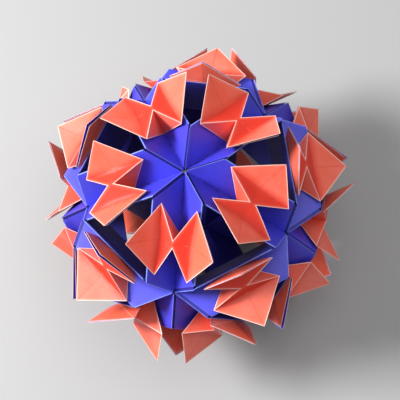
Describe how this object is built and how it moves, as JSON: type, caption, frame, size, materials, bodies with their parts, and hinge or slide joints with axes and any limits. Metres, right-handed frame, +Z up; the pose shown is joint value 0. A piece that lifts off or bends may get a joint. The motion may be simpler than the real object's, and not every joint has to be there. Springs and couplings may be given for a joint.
{
  "type": "kusudama paper ball",
  "caption": "Modular folded-paper ball: blue star-shaped hollows joined by units that open into pairs of orange wings, with triangular holes; rests on its wing tips or hangs by a thread.",
  "frame": {"origin": "on the surface the ball stands on, straight below its centre", "axes": "+Z up through the middle of the top and bottom stars, +X towards a star of the upper ring"},
  "size_m": [0.1186, 0.1158, 0.099],
  "materials": {
    "two_tone_paper": "matt two-tone folding paper, blue-violet on one side and salmon orange on the other, pale at its folds and cut edges"
  },
  "bodies": {
    "root": {"cap_unit_1": "two_tone_paper", "cap_unit_2": "two_tone_paper", "cap_unit_3": "two_tone_paper", "cap_unit_4": "two_tone_paper", "cap_unit_5": "two_tone_paper", "upper_unit_1": "two_tone_paper", "upper_unit_2": "two_tone_paper", "upper_unit_3": "two_tone_paper", "upper_unit_4": "two_tone_paper", "upper_unit_5": "two_tone_paper", "belt_unit_1": "two_tone_paper", "belt_unit_2": "two_tone_paper", "belt_unit_3": "two_tone_paper", "belt_unit_4": "two_tone_paper", "belt_unit_5": "two_tone_paper", "belt_unit_6": "two_tone_paper", "belt_unit_7": "two_tone_paper", "belt_unit_8": "two_tone_paper", "belt_unit_9": "two_tone_paper", "belt_unit_10": "two_tone_paper", "lower_unit_1": "two_tone_paper", "lower_unit_2": "two_tone_paper", "lower_unit_3": "two_tone_paper", "lower_unit_4": "two_tone_paper", "lower_unit_5": "two_tone_paper", "foot_unit_1": "two_tone_paper", "foot_unit_2": "two_tone_paper", "foot_unit_3": "two_tone_paper", "foot_unit_4": "two_tone_paper", "foot_unit_5": "two_tone_paper"}
  },
  "joints": []
}
